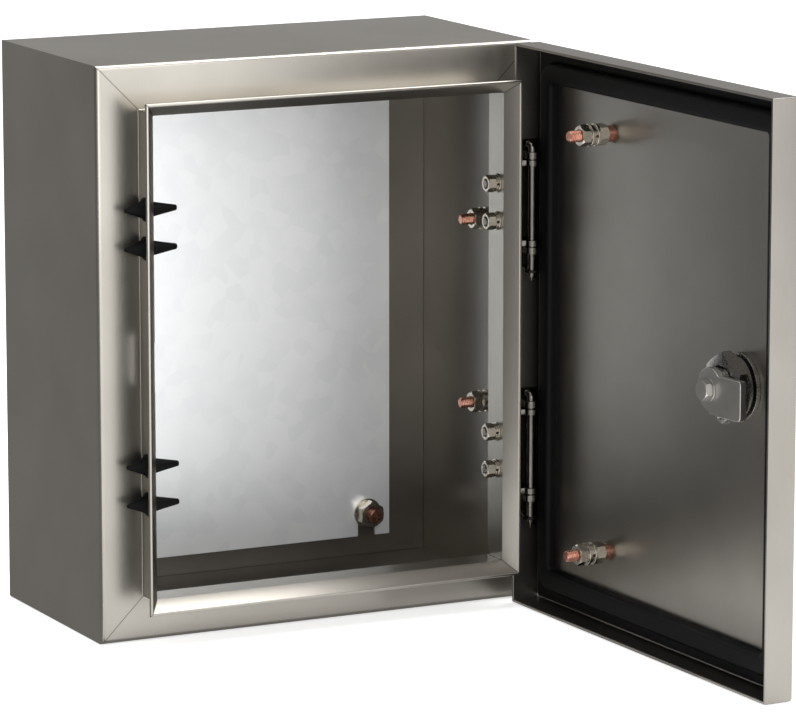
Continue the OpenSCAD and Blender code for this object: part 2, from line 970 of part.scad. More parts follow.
case_wrapper_and_rim();
back_panel();
mounting_plate();
plate_studs();
plate_washers();
plate_nuts();
case_earth_studs();
case_earth_flat_washers();
case_earth_spring_washers();
case_earth_nuts();
hinge_hole_plugs();
hinge_leaf(hinge_z);  // upper_hinge_leaf
hinge_leaf(-hinge_z);  // lower_hinge_leaf
hinge_screws();
hinge_flat_washers();
hinge_spring_washers();
hinge_screw_nuts();
door_pan();
door_sealing_strip();
hinge_bracket(hinge_z);  // upper_hinge_bracket
hinge_bracket(-hinge_z);  // lower_hinge_bracket
hinge_pin(hinge_z);  // upper_hinge_pin
hinge_pin(-hinge_z);  // lower_hinge_pin
hinge_pin_clips();
door_earth_studs();
door_earth_base_nuts();
door_earth_flat_washers();
door_earth_spring_washers();
door_earth_end_nuts();
lock_housing();
lock_washer();
lock_seal_ring();
lock_nut();
lock_key_insert();
lock_stop_disc();
lock_cam();
lock_cam_washer();
lock_cam_bolt();
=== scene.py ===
# %% [markdown]
# # Dressing a steel wall enclosure
#
# The solids of the enclosure already have the right size, place and motion. This
# lesson gives them what a solid lacks: bent sheet edges with real radii, rolled
# threads, chamfered nuts, soft rubber, and metal that looks brushed, plated or
# cast. Every new piece is a surface worked out from a few sizes in millimetres,
# set in the same frame as the solids: X to the right, -Y to the front, Z up.

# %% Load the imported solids
import json
import math

import bmesh
import bpy
import numpy as np
from mathutils import Matrix, Vector


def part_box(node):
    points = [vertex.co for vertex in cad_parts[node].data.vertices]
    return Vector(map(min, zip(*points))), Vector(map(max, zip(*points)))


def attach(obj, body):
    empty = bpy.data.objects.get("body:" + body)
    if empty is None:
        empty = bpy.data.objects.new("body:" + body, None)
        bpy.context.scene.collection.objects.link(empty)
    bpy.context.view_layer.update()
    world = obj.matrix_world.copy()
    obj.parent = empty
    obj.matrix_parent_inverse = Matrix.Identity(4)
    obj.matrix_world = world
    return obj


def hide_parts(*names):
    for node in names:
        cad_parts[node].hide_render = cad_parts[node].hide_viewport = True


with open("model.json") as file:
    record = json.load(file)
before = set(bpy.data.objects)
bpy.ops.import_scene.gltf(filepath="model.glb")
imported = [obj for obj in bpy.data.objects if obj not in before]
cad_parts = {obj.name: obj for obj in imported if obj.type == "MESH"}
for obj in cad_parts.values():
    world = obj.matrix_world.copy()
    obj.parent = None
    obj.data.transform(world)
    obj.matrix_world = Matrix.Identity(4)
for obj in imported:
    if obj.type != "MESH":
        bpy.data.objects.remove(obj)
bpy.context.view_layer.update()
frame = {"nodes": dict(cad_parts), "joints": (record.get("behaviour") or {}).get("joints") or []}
MM = 0.001

# %% [markdown]
# ## Sizes
#
# The outer sizes are read from the solids, so the new sheets always fit them. The
# sheet gauges, bends and fasteners are workshop sizes, and are named here once.

# %% Case and door sizes in millimetres


def node_box(name):
    """Lowest and highest corner of a solid, in millimetres."""
    low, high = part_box(name)
    return np.array(low) / MM, np.array(high) / MM


case_low, case_high = node_box("case_wrapper_and_rim")
case_w = case_high[0] - case_low[0]
case_h = case_high[2] - case_low[2]
rim_front = -case_low[1]
rim_height = 22.9
case_d = rim_front - rim_height
sheet_t = 1.5
bend_r = 2.4
rim_inset = 23.6
rim_t = 1.2
rim_straight = 15.0
ridge_r = 1.0
ridge_overhang = 5.0
ridge_inset = rim_inset - ridge_overhang
door_standoff = 13.5
door_flange = 17.0
flange_edge = case_d + door_standoff
door_face = flange_edge + door_flange
panel_inner = door_face - sheet_t
wall_x = case_w / 2 - rim_inset
SHARP_DEG = 32
print("case", round(case_w, 1), "x", round(case_h, 1), "frame at", round(case_d, 1))

# %% [markdown]
# The door and all that it carries are worked out as if it were shut, and then
# turned about the hinge pins to where it stands at rest. The angle is the shut
# limit of the hinge joint.

# %% Door place at rest
hinge = next(j for j in frame["joints"] if j["name"] == "door_hinge")
pin_place = np.array(hinge["pos_m"]) / MM
door_angle = -math.radians(hinge["range_deg"][0])


def identity(points):
    """Case pieces stay where they are worked out."""
    return points


def swing(points):
    """Turns points of the shut door about the vertical pin axis by door_angle."""
    c, s = math.cos(door_angle), math.sin(door_angle)
    turn = np.array([[c, s, 0], [-s, c, 0], [0, 0, 1]])
    centre = np.array([pin_place[0], pin_place[1], 0])
    return (points - centre) @ turn + centre


print("door stands open by", round(math.degrees(door_angle), 1), "degrees")

# %% [markdown]
# ## Surfaces from numpy grids
#
# A sheet, a ring or a nut is a grid of points in two parameters. One function
# joins the grid's neighbours into faces, and another puts a whole piece together.
# Working on whole arrays keeps it quick and keeps each formula in one place.

# %% Grid to faces


def grid_faces(rows, cols, wrap_rows, wrap_cols, start=0):
    """Quads between neighbours of a rows x cols grid; a wrapped way joins its end to its start."""
    r = np.arange(rows if wrap_rows else rows - 1)
    c = np.arange(cols if wrap_cols else cols - 1)
    r0, c0 = np.meshgrid(r, c, indexing="ij")
    r1, c1 = (r0 + 1) % rows, (c0 + 1) % cols
    quads = np.stack([r0 * cols + c0, r1 * cols + c0, r1 * cols + c1, r0 * cols + c1], axis=-1)
    return quads.reshape(-1, 4) + start


def join(parts):
    """Joins parts, each (points grid, wrap rows, wrap cols, cap ends), into points and faces."""
    points, faces, start = [], [], 0
    for grid, wrap_rows, wrap_cols, caps in parts:
        rows, cols = grid.shape[:2]
        points.append(grid.reshape(-1, 3))
        faces += grid_faces(rows, cols, wrap_rows, wrap_cols, start).tolist()
        if caps:
            first = np.arange(cols) + start
            faces += [first.tolist(), (first + (rows - 1) * cols).tolist()[::-1]]
        start += rows * cols
    return np.concatenate(points), faces


# %% Finish a mesh: merge, turn faces out, keep bends smooth and folds sharp


def clean(mesh, merge_mm=0.004):
    """Merges doubled points and turns every face outwards."""
    bm = bmesh.new()
    bm.from_mesh(mesh)
    bmesh.ops.remove_doubles(bm, verts=bm.verts, dist=merge_mm * MM)
    bmesh.ops.recalc_face_normals(bm, faces=bm.faces)
    bm.to_mesh(mesh)
    bm.free()


def shade(mesh):
    """Smooth shading, broken where two faces meet at more than SHARP_DEG."""
    mesh.shade_smooth()
    mesh.set_sharp_from_angle(angle=math.radians(SHARP_DEG))


def bevel(obj, width_mm, segments=2, angle=40):
    """Rounds the folds of a piece by a real radius."""
    mod = obj.modifiers.new("edge radius", "BEVEL")
    mod.width = width_mm * MM
    mod.segments = segments
    mod.limit_method = "ANGLE"
    mod.angle_limit = math.radians(angle)
    mod.harden_normals = True
    return mod


def hand_over(obj, finish, body, stands_for):
    """Links a piece to the scene, gives it its finish, hangs it on its body and hides the solids it stands
    for.
    """
    bpy.context.scene.collection.objects.link(obj)
    obj.data.materials.append(finish)
    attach(obj, body)
    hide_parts(*stands_for)
    print(obj.name, "faces:", len(obj.data.polygons))
    return obj


def piece(name, parts, finish, body, stands_for, place=identity):
    """Builds one piece from parts in millimetres and hands it to a body of the frame."""
    points, faces = join(parts)
    mesh = bpy.data.meshes.new(name)
    mesh.from_pydata((place(points) * MM).tolist(), [], faces)
    clean(mesh)
    shade(mesh)
    return hand_over(bpy.data.objects.new(name, mesh), finish, body, stands_for)


# %% [markdown]
# ## Sections, rings and turned shapes
#
# Folded sheet is a section carried round a rectangle with mitred corners. Turned
# parts are a profile of radius and height carried round an axis.

# %% Arcs and frames


def arc(centre, r, a, b, steps=8):
    """Points on a circle from angle a to angle b, in degrees."""
    t = np.radians(np.linspace(a, b, steps + 1))
    return np.column_stack([centre[0] + r * np.cos(t), centre[1] + r * np.sin(t)])


def touch_angle(p, c, r, side):
    """Direction from p along which a line just touches the circle round c."""
    d = np.subtract(c, p)
    return math.degrees(math.atan2(d[1], d[0])) + side * math.degrees(math.asin(r / np.hypot(*d)))


def mitred(section):
    """Section points (inset, distance forward) carried round the four corners of the case outline."""
    signs = np.array([[-1, -1], [1, -1], [1, 1], [-1, 1]])
    inset = section[:, None, 0]
    x = signs[None, :, 0] * (case_w / 2 - inset)
    z = signs[None, :, 1] * (case_h / 2 - inset)
    y = np.broadcast_to(-section[:, None, 1], x.shape)
    return np.stack([x, y, z], axis=-1)


def rounded_ring(section, radius, steps=10):
    """Section carried round the case outline; each of its points rounds the corners by its own radius."""
    turn = np.radians(np.linspace(0, 90, steps + 1))
    r = radius[:, None]
    centre = section[:, None, 0] + r
    out = []
    for sx, sz, base in ((1, 1, 0), (-1, 1, 90), (-1, -1, 180), (1, -1, 270)):
        angle = turn + math.radians(base)
        x = sx * (case_w / 2 - centre) + r * np.cos(angle)
        z = sz * (case_h / 2 - centre) + r * np.sin(angle)
        y = np.broadcast_to(-section[:, None, 1], x.shape)
        out.append(np.stack([x, y, z], axis=-1))
    return np.concatenate(out, axis=1)


def revolve(profile, steps=48):
    """Profile points (radius, height) turned about Z: x = r cos t, y = r sin t."""
    t = np.linspace(0, 2 * np.pi, steps, endpoint=False)
    profile = np.asarray(profile, dtype=float)
    r, h = profile[:, None, 0], profile[:, None, 1]
    return np.stack([r * np.cos(t), r * np.sin(t), np.broadcast_to(h, (len(profile), steps))], axis=-1)


def aim(points, origin, direction, up=(0, 0, 1)):
    """Moves a local shape so that its Z axis leaves origin along direction."""
    w = np.array(direction, dtype=float)
    w /= np.linalg.norm(w)
    u = np.cross(up, w)
    u /= np.linalg.norm(u)
    v = np.cross(w, u)
    return points @ np.stack([u, v, w]) + np.array(origin, dtype=float)


# %% [markdown]
# ## Fasteners
#
# Real threads, chamfers and split rings catch the light in ways that a plain
# cylinder can't. A thread is a radius that dips by a triangle wave as it winds.

# %% Rods, nuts and rings


def thread_rod(d, length, pitch, tip=0.8, plain=0.0, steps=36):
    """Radius = d/2 - depth * triangle(height/pitch - turn), narrowed at the tip by a chamfer."""
    h = np.linspace(0, length, max(8, int(length / pitch * 6)))
    t = np.linspace(0, 2 * np.pi, steps, endpoint=False)
    phase = (h[:, None] / pitch - t[None, :] / (2 * np.pi)) % 1.0
    depth = 0.4 * pitch * np.clip((h - plain) / pitch, 0, 1)[:, None]
    r = d / 2 - depth * (1 - np.abs(2 * phase - 1)) * 0.9
    r = np.minimum(r, d / 2 - tip + (length - h[:, None]))
    grid = np.stack([r * np.cos(t), r * np.sin(t), np.broadcast_to(h[:, None], r.shape)], axis=-1)
    end = revolve([(d / 2 - tip, length), (0, length)], steps)
    base = revolve([(0, 0), (d / 2, 0)], steps)
    return np.concatenate([base, grid, end])


def hex_nut(af, height, bore, chamfer=0.7, turn=0.0, closed=False):
    """Radius is the hexagon's, cut at both ends by a cone; six rows of points give each edge."""
    t = np.radians(np.arange(0, 360, 5.0))
    flat = af / 2 / np.cos((t + np.pi / 6) % (np.pi / 3) - np.pi / 6)
    crown = af / 2 * 0.99
    slope = np.clip(flat - crown, 0, None) * chamfer / (af / 2 / math.cos(math.pi / 6) - crown)
    inner = np.full_like(t, 0.01 if closed else bore / 2)
    lip = np.full_like(t, 0.01 if closed else bore / 2 + 0.35)
    radii = [inner, lip, np.minimum(flat, crown), flat, flat, np.minimum(flat, crown), lip, inner]
    heights = [0 * t + (0 if closed else 0.35), 0 * t, 0 * t, slope, height - slope,
               0 * t + height, 0 * t + height, 0 * t + height - (0 if closed else 0.35)]
    r, h = np.stack(radii), np.stack(heights)
    a = t[None, :] + math.radians(turn)
    return np.stack([r * np.cos(a), r * np.sin(a), h], axis=-1)


def ring_section(d, height, bore, edge):
    """Section of a flat ring with its corners taken off, as (radius, height)."""
    ro, ri = d / 2, bore / 2
    return np.array([(ri, edge), (ri + edge, 0), (ro - edge, 0), (ro, edge), (ro, height - edge),
                     (ro - edge, height), (ri + edge, height), (ri, height - edge)])


def washer(d, height, bore, edge=0.15):
    """Flat ring turned from its section."""
    return revolve(ring_section(d, height, bore, edge))


def spring_washer(d, height, bore, gap_deg=16.0):
    """Square wire wound once and pressed flat; its ends stay apart by gap_deg."""
    a = np.radians(np.linspace(gap_deg / 2, 360 - gap_deg / 2, 60))[:, None]
    wire = ring_section(d, height, bore, 0.12)
    x, y = wire[None, :, 0] * np.cos(a), wire[None, :, 0] * np.sin(a)
    return np.stack([x, y, np.broadcast_to(wire[None, :, 1], x.shape)], axis=-1)


def many(shapes, places):
    """Each local grid of shapes, aimed at every (origin, direction) of places."""
    parts = []
    for origin, direction in places:
        for grid, wrap_rows, wrap_cols, caps in shapes:
            moved = aim(grid.reshape(-1, 3), origin, direction).reshape(grid.shape)
            parts.append((moved, wrap_rows, wrap_cols, caps))
    return parts


def further(places, distance):
    """The same places, each moved by distance along its own direction."""
    return [(tuple(np.add(origin, np.multiply(way, distance))), way) for origin, way in places]


# %% [markdown]
# ## Materials
#
# Each finish starts from the real one. Stainless sheet has a fine brushed grain
# that spreads reflections across it; zinc plate is brighter and a little warm;
# galvanised sheet shows faint crystals; copper plate is red-brown and worn at
# the crests; moulded rubber is nearly black with a soft sheen.

# %% Colour and node helpers


def linear(hex_code):
    """sRGB hex to linear RGBA: ((c + 0.055) / 1.055) ^ 2.4 above the toe."""
    c = np.array([int(hex_code[i:i + 2], 16) for i in (1, 3, 5)]) / 255
    c = np.where(c <= 0.04045, c / 12.92, ((c + 0.055) / 1.055) ** 2.4)
    return (*c.tolist(), 1.0)


def add(tree, kind, settings=None, **inputs):
    """Adds a node; settings are its options, inputs are values or sockets to link."""
    node = tree.nodes.new(kind)
    for key, value in (settings or {}).items():
        setattr(node, key, value)
    for key, value in inputs.items():
        socket = node.inputs[int(key[1:])] if key[0] == "_" else node.inputs[key.replace("_", " ")]
        if isinstance(value, bpy.types.NodeSocket):
            tree.links.new(value, socket)
        else:
            socket.default_value = value
    return node


def blank(name):
    """A new material with an empty node tree and an output."""
    material = bpy.data.materials.new(name)
    material.use_nodes = True
    material.node_tree.nodes.clear()
    return material, material.node_tree


def close(tree, shader):
    """Links the finished shader to the material's output."""
    add(tree, "ShaderNodeOutputMaterial", Surface=shader)


# %% Short names for the nodes that most finishes use


def maths(tree, operation, first, second=0.0, third=0.0):
    """Result of one maths node."""
    return add(tree, "ShaderNodeMath", {"operation": operation}, _0=first, _1=second, _2=third).outputs[0]


def between(tree, factor, first, second):
    """Colour that goes from first to second as factor goes from 0 to 1."""
    return add(tree, "ShaderNodeMix", {"data_type": "RGBA"}, Factor=factor, _6=first, _7=second).outputs[2]


def remap(tree, value, low, high, to_low=0.0, to_high=1.0, ease="LINEAR"):
    """Value from the range low to high, carried over to the range to_low to to_high."""
    return add(tree, "ShaderNodeMapRange", {"interpolation_type": ease}, Value=value, From_Min=low,
               From_Max=high, To_Min=to_low, To_Max=to_high).outputs["Result"]


def cloud(tree, coords, size_mm, detail):
    """Noise whose features are about size_mm wide."""
    return add(tree, "ShaderNodeTexNoise", Vector=coords, Scale=1 / (size_mm * MM),
               Detail=detail).outputs["Fac"]


# %% Metal with a grain and slight colour drift


def grained_metal(name, dark, light, rough, spread, grain, drift_mm=60.0, bump_mm=0.004, seam=None):
    """Metal: two tones mixed by slow drift, roughness and bump from a stretched noise.

    tone = 0.35 * grain + drift. grain is the grain's size in millimetres along X, Y and Z.
    """
    material, tree = blank(name)
    coords = add(tree, "ShaderNodeTexCoord").outputs["Object"]
    scale = [1 / (g * MM) for g in grain]
    stretched = add(tree, "ShaderNodeMapping", Vector=coords, Scale=scale).outputs["Vector"]
    lines = add(tree, "ShaderNodeTexNoise", Vector=stretched, Scale=1.0, Detail=3.0,
                Roughness=0.6).outputs["Fac"]
    mixed = maths(tree, "MULTIPLY_ADD", lines, 0.35, cloud(tree, coords, drift_mm, 2.0))
    colour = between(tree, remap(tree, mixed, 0.45, 0.9), linear(dark), linear(light))
    roughness = remap(tree, lines, 0.3, 0.7, rough - spread, rough + spread)
    if seam:
        colour = weld_seam(tree, coords, colour, seam)
    bump = add(tree, "ShaderNodeBump", Height=lines, Strength=0.35, Distance=bump_mm * MM).outputs["Normal"]
    shader = add(tree, "ShaderNodeBsdfPrincipled", Base_Color=colour, Roughness=roughness,
                 Normal=bump, Metallic=1.0)
    close(tree, shader.outputs["BSDF"])
    return material


def weld_seam(tree, coords, colour, width_mm):
    """Darker line where the mitred sides of the front meet: |z| - |x| = (height - width) / 2."""
    axes = add(tree, "ShaderNodeSeparateXYZ", Vector=coords)
    x = maths(tree, "ABSOLUTE", axes.outputs["X"])
    z = maths(tree, "ABSOLUTE", axes.outputs["Z"])
    off = maths(tree, "SUBTRACT", maths(tree, "SUBTRACT", z, x), (case_h - case_w) / 2 * MM)
    line = remap(tree, maths(tree, "ABSOLUTE", off), width_mm * 0.4 * MM, width_mm * MM,
                 0.75, 0.0, "SMOOTHSTEP")
    front = remap(tree, axes.outputs["Y"], -(case_d - 0.3) * MM, -(case_d - 0.6) * MM, 1.0, 0.0)
    return between(tree, maths(tree, "MULTIPLY", line, front), colour, linear("#4a4640"))


# %% Zinc crystals and rubber


def galvanised_sheet():
    """Zinc crystals: cells about 9 mm wide, each a shade lighter or darker, with soft roughness."""
    material, tree = blank("galvanised sheet")
    coords = add(tree, "ShaderNodeTexCoord").outputs["Object"]
    cells = add(tree, "ShaderNodeTexVoronoi", Vector=coords, Scale=1 / (9 * MM))
    cell_shade = add(tree, "ShaderNodeSeparateXYZ", Vector=cells.outputs["Color"]).outputs["X"]
    mixed = maths(tree, "MULTIPLY_ADD", cloud(tree, coords, 0.8, 2.0), 0.3, cell_shade)
    colour = between(tree, mixed, linear("#e9ebed"), linear("#eef0f1"))
    roughness = remap(tree, mixed, 0.0, 1.3, 0.355, 0.385)
    shader = add(tree, "ShaderNodeBsdfPrincipled", Base_Color=colour, Roughness=roughness, Metallic=0.72)
    close(tree, shader.outputs["BSDF"])
    return material


def black_rubber():
    """Moulded rubber: near black, a fine matt texture and a broad soft highlight."""
    material, tree = blank("black moulded rubber")
    coords = add(tree, "ShaderNodeTexCoord").outputs["Object"]
    fine = cloud(tree, coords, 0.9, 3.0)
    colour = between(tree, fine, linear("#050505"), linear("#0a0a0a"))
    roughness = remap(tree, fine, 0.3, 0.7, 0.44, 0.56)
    bump = add(tree, "ShaderNodeBump", Height=fine, Strength=0.2, Distance=0.01 * MM).outputs["Normal"]
    shader = add(tree, "ShaderNodeBsdfPrincipled", Base_Color=colour, Roughness=roughness, Normal=bump,
                 Specular_IOR_Level=0.08)
    close(tree, shader.outputs["BSDF"])
    return material


# %% The finishes
BRUSHED = (0.5, 0.5, 9.0)
CAST = (0.8, 0.8, 0.8)
FINE_BUMP = 0.0008
brushed_case = grained_metal("brushed stainless sheet", "#928e87", "#9c9891", 0.31, 0.03, BRUSHED, seam=0.5)
# The door takes a darker copy of the case's stainless sheet: painted shade for the inside of the open door,
# not a different finish.
painted_shade_door_steel = grained_metal("stainless door sheet darkened as painted shade", "#807c76", "#8a8680", 0.31, 0.03, BRUSHED)
# The back panel takes a darker copy of the same stainless sheet: painted shade for the inside of the case,
# not a different finish.
painted_shade_back_steel = grained_metal("stainless back sheet darkened as painted shade", "#726e68", "#7c7872", 0.38, 0.03, BRUSHED)
bright_zinc = grained_metal("bright zinc plate", "#a8a297", "#bbb5aa", 0.25, 0.03, (1.5, 1.5, 1.5),
                            6.0, FINE_BUMP)
hinge_steel = grained_metal("plain hinge steel", "#5a5752", "#66635e", 0.22, 0.03, CAST, 9.0, FINE_BUMP)
smooth_nickel = grained_metal("smooth nickel casting", "#7e7c79", "#8a8885", 0.27, 0.03, CAST,
                              12.0, FINE_BUMP)
satin_chrome = grained_metal("satin chrome casting", "#9c9a96", "#a8a6a2", 0.34, 0.03, CAST, 12.0, FINE_BUMP)
copper_plate = grained_metal("copper plated thread", "#9a6350", "#c08f7c", 0.28, 0.04, (1.0, 1.0, 1.0),
                             4.0, FINE_BUMP)
black_spring = grained_metal("blackened spring steel", "#1c1b1a", "#2a2826", 0.42, 0.05, (0.6, 0.6, 0.6),
                             3.0, FINE_BUMP)
galvanised = galvanised_sheet()
rubber = black_rubber()
print("finishes:", len(bpy.data.materials))

# %% [markdown]
# ## The case and its rim
#
# On the real case one sheet is folded into the sides, the flat front frame and
# the rim. The rim runs straight forward and then leans out to a rounded edge, so
# water runs off outside the seal. One closed section, carried round the four
# mitred corners, gives all of it with the right sheet thickness.

# %% Section of the case sheet


def case_section():
    """Outside of the sheet from the back to the sealing edge, then the inside back again."""
    bend = (bend_r, case_d - bend_r)
    ridge = (ridge_inset, rim_front - ridge_r)
    outer = (rim_inset, case_d + rim_straight - 0.5)
    inner = (rim_inset + rim_t, case_d + rim_straight)
    a = touch_angle(outer, ridge, ridge_r, 1) + 90
    b = touch_angle(inner, ridge, ridge_r, -1) - 90
    root = 0.8
    return np.concatenate([
        [(0, 0)], arc(bend, bend_r, 180, 90),
        arc((rim_inset - root, case_d + root), root, 270, 360, 4), [outer],
        arc(ridge, ridge_r, a, b, 10), [inner], [(rim_inset + rim_t, case_d - sheet_t)],
        arc(bend, bend_r - sheet_t, 90, 180), [(sheet_t, 0)]])


case_sheet = piece("case_sheet", [(mitred(case_section()), True, True, False)], brushed_case,
                   "case", ["case_wrapper_and_rim"])

# %% [markdown]
# The lock cam goes into a slot in the rim wall on the lock side when the door is
# shut. It is cut with a box before the edges are rounded.

# %% Keeper slot


def cut_box(obj, low, high):
    """Cuts a box out of a piece and keeps the result as its mesh."""
    low, high = np.array(low) * MM, np.array(high) * MM
    bm = bmesh.new()
    bmesh.ops.create_cube(bm, size=1.0, matrix=Matrix.LocRotScale(
        Vector((low + high) / 2), None, Vector(high - low)))
    tool_mesh = bpy.data.meshes.new("slot tool")
    bm.to_mesh(tool_mesh)
    bm.free()
    tool = bpy.data.objects.new("slot tool", tool_mesh)
    bpy.context.scene.collection.objects.link(tool)
    mod = obj.modifiers.new("slot", "BOOLEAN")
    mod.object = tool
    mod.operation = "DIFFERENCE"
    mod.solver = "EXACT"
    graph = bpy.context.evaluated_depsgraph_get()
    result = bpy.data.meshes.new_from_object(obj.evaluated_get(graph))
    obj.modifiers.clear()
    obj.data = result
    bpy.data.objects.remove(tool)
    shade(obj.data)


cut_box(case_sheet, (-wall_x - 1, -case_d - rim_straight - 0.7, -16.8),
        (-wall_x + rim_t + 1, -case_d - rim_straight + 4.5, 9.0))
bevel(case_sheet, 0.5, 3)

# %% [markdown]
# The back panel, the mounting plate and the machined parts of the lock and the
# hinges already have the right shape as solids. A copy of such a solid is
# merged, its flat faces are joined, and its edges get a small radius.

# %% Round the edges of a solid's copy


def eased(name, finish, body, width_mm=0.25):
    """Copy of a solid with merged points, joined flats and rounded edges."""
    mesh = frame["nodes"][name].data.copy()
    mesh.materials.clear()
    bm = bmesh.new()
    bm.from_mesh(mesh)
    bmesh.ops.remove_doubles(bm, verts=bm.verts, dist=0.002 * MM)
    bmesh.ops.dissolve_limit(bm, angle_limit=math.radians(0.8), verts=bm.verts, edges=bm.edges)
    bmesh.ops.recalc_face_normals(bm, faces=bm.faces)
    bm.to_mesh(mesh)
    bm.free()
    shade(mesh)
    obj = hand_over(bpy.data.objects.new(name + "_eased", mesh), finish, body, [name])
    bevel(obj, width_mm)


eased("back_panel", painted_shade_back_steel, "case", 0.2)
eased("mounting_plate", galvanised, "case", 0.25)
for level in ("upper", "lower"):
    eased(level + "_hinge_leaf", hinge_steel, "case", 0.3)
    eased(level + "_hinge_bracket", hinge_steel, "door", 0.25)
for name in ("lock_housing", "lock_washer"):
    eased(name, smooth_nickel, "door", 0.25)
eased("lock_seal_ring", rubber, "door", 0.2)
for name, width in (("lock_key_insert", 0.15), ("lock_stop_disc", 0.2), ("lock_cam", 0.45)):
    eased(name, satin_chrome, "lock", width)
eased("hinge_pin_clips", black_spring, "door", 0.15)

# %% [markdown]
# ## The door
#
# The door is a folded tray: a panel with a flange on each side, bent round the
# same radius as the case and welded at the corners.

# %% Door tray


def door_section():
    """From the middle of the outer face round the bend to the flange edge, and back inside."""
    bend = (bend_r, door_face - bend_r)
    return np.concatenate([
        [(40, door_face)], arc(bend, bend_r, 90, 180), [(0, flange_edge), (sheet_t, flange_edge)],
        arc(bend, bend_r - sheet_t, 180, 90), [(40, panel_inner)]])


door_sheet = piece("door_sheet", [(mitred(door_section()), False, True, True)], painted_shade_door_steel,
                   "door", ["door_pan"], swing)
bevel(door_sheet, 0.45, 3)

# %% [markdown]
# The sealing strip is soft rubber with rounded shoulders. It turns each corner of
# the door in a small curve, as a foamed strip does. A thin foot runs from it to
# the fold of the tray, where the foam was poured, and fills the square corners.

# %% Sealing strip
strip_low, strip_high = panel_inner, rim_front + 0.3
strip_in, strip_lap, strip_r = 8.5, 1.4, 2.6
strip_end = ridge_inset + strip_lap
strip_turn = 22.0
foot_in, foot_h, foot_edge, foot_turn = 2.7, 1.3, 0.4, 1.5


def strip_section():
    """Thin foot on the panel, then two rounded shoulders and a flat top."""
    foot_top = strip_low - foot_h
    foot = [(foot_in, strip_low), (foot_in, foot_top + foot_edge), (foot_in + foot_edge, foot_top)]
    left_arc = arc((strip_in + strip_r, strip_high + strip_r), strip_r, 180, 270)
    right_arc = arc((strip_end - strip_r, strip_high + strip_r), strip_r, 270, 360)
    return np.concatenate([foot, [(strip_in, foot_top)], left_arc, right_arc, [(strip_end, strip_low)]])


strip = strip_section()
turns = np.where(strip[:, 0] < strip_in - 1, foot_turn, strip_turn - strip[:, 0])
sealing_strip = piece("sealing_strip", [(rounded_ring(strip, turns), True, True, False)],
                      rubber, "door", ["door_sealing_strip"], swing)

# %% [markdown]
# ## Studs, nuts and washers

# %% Mounting plate fasteners, M8
plate_t, shoulder_r, shoulder_edge = 2.0, 6.0, 0.4
m8, m8_bore, m8_pitch, m8_washer_t, m8_nut_af, m8_nut_h = 8.0, 8.1, 1.25, 1.6, 13, 6.5
stud_low, stud_high = node_box("plate_studs")
stud_x = (stud_high[0] - stud_low[0]) / 2 - shoulder_r
stud_z = (stud_high[2] - stud_low[2]) / 2 - shoulder_r
plate_front = -node_box("mounting_plate")[0][1]
shoulder = plate_front - plate_t - sheet_t
on_back = [((sx * stud_x, -sheet_t, sz * stud_z), (0, -1, 0)) for sx in (-1, 1) for sz in (-1, 1)]
on_plate = further(on_back, plate_front - sheet_t)
collar = revolve([(0, 0), (shoulder_r, 0), (shoulder_r, shoulder - shoulder_edge),
                  (shoulder_r - shoulder_edge, shoulder), (0, shoulder)])
rod = thread_rod(m8, -stud_low[1] - sheet_t, m8_pitch, plain=shoulder)
piece("mounting_studs", many([(collar, False, True, False), (rod, False, True, False)], on_back),
      copper_plate, "case", ["plate_studs"])
piece("mounting_washers", many([(washer(16, m8_washer_t, m8_bore, 0.3), True, True, False)], on_plate),
      bright_zinc, "case", ["plate_washers"])
piece("mounting_nuts", many([(hex_nut(m8_nut_af, m8_nut_h, m8_bore, 1.1), True, True, False)],
                            further(on_plate, m8_washer_t)), bright_zinc, "case", ["plate_nuts"])

# %% Earth studs of the case and the door, M6
earth_tip, nut_h, base_nut_h, flat_t, spring_t = 6.4, 5.2, 5.6, 1.4, 2.0
m6, m6_bore, m6_pitch, m6_nut_af, m6_washer_d, m6_spring_d, collar_r = 6.0, 6.1, 1.0, 10, 12, 10.4, 4.2
stack = 2 * flat_t + spring_t


def earth_kit(prefix, places, length, base_nut, body, place):
    """Stud, washers and nuts along each (origin, direction), stacked from the welded collar."""
    collar_h = length - earth_tip - nut_h - stack - base_nut
    low = collar_h + base_nut
    collar = revolve([(0, 0), (collar_r, 0), (collar_r, collar_h - 0.2), (collar_r - 0.2, collar_h),
                      (0, collar_h)], 32)
    stud = thread_rod(m6, length, m6_pitch, plain=collar_h)
    flat = washer(m6_washer_d, flat_t, m6_bore)
    spring = spring_washer(m6_spring_d, spring_t, m6_bore)
    nut = hex_nut(m6_nut_af, nut_h, m6_bore, 0.8)
    both_flats = further(places, low) + further(places, low + flat_t + spring_t)
    node = prefix + "_earth_"
    piece(prefix + "_studs", many([(collar, False, True, False), (stud, False, True, False)], places),
          copper_plate, body, [node + "studs"], place)
    piece(prefix + "_flat_rings", many([(flat, True, True, False)], both_flats),
          bright_zinc, body, [node + "flat_washers"], place)
    piece(prefix + "_spring_rings", many([(spring, False, True, True)], further(places, low + flat_t)),
          bright_zinc, body, [node + "spring_washers"], place)
    piece(prefix + "_end_nuts", many([(nut, True, True, False)], further(places, low + stack)),
          bright_zinc, body, [node + ("end_nuts" if base_nut else "nuts")], place)
    if base_nut:
        base = hex_nut(m6_nut_af, base_nut, m6_bore, 0.8, 14)
        piece(prefix + "_base_nuts", many([(base, True, True, False)], further(places, collar_h)),
              bright_zinc, body, [node + "base_nuts"], place)


earth_low, earth_high = node_box("case_earth_studs")
earth_y, earth_z = (earth_low[1] + earth_high[1]) / 2, 50.0
case_earth = [((earth_high[0], earth_y, s * earth_z), (-1, 0, 0)) for s in (-1, 1)]
earth_kit("case", case_earth, earth_high[0] - earth_low[0], 0.0, "case", identity)
door_stud_u, door_stud_margin, door_stud_len = 71.5, 40, 24.5
door_earth = [((case_w / 2 - door_stud_u, -panel_inner, s * (case_h / 2 - door_stud_margin)), (0, 1, 0))
              for s in (-1, 1)]
earth_kit("door", door_earth, door_stud_len, base_nut_h, "door", swing)

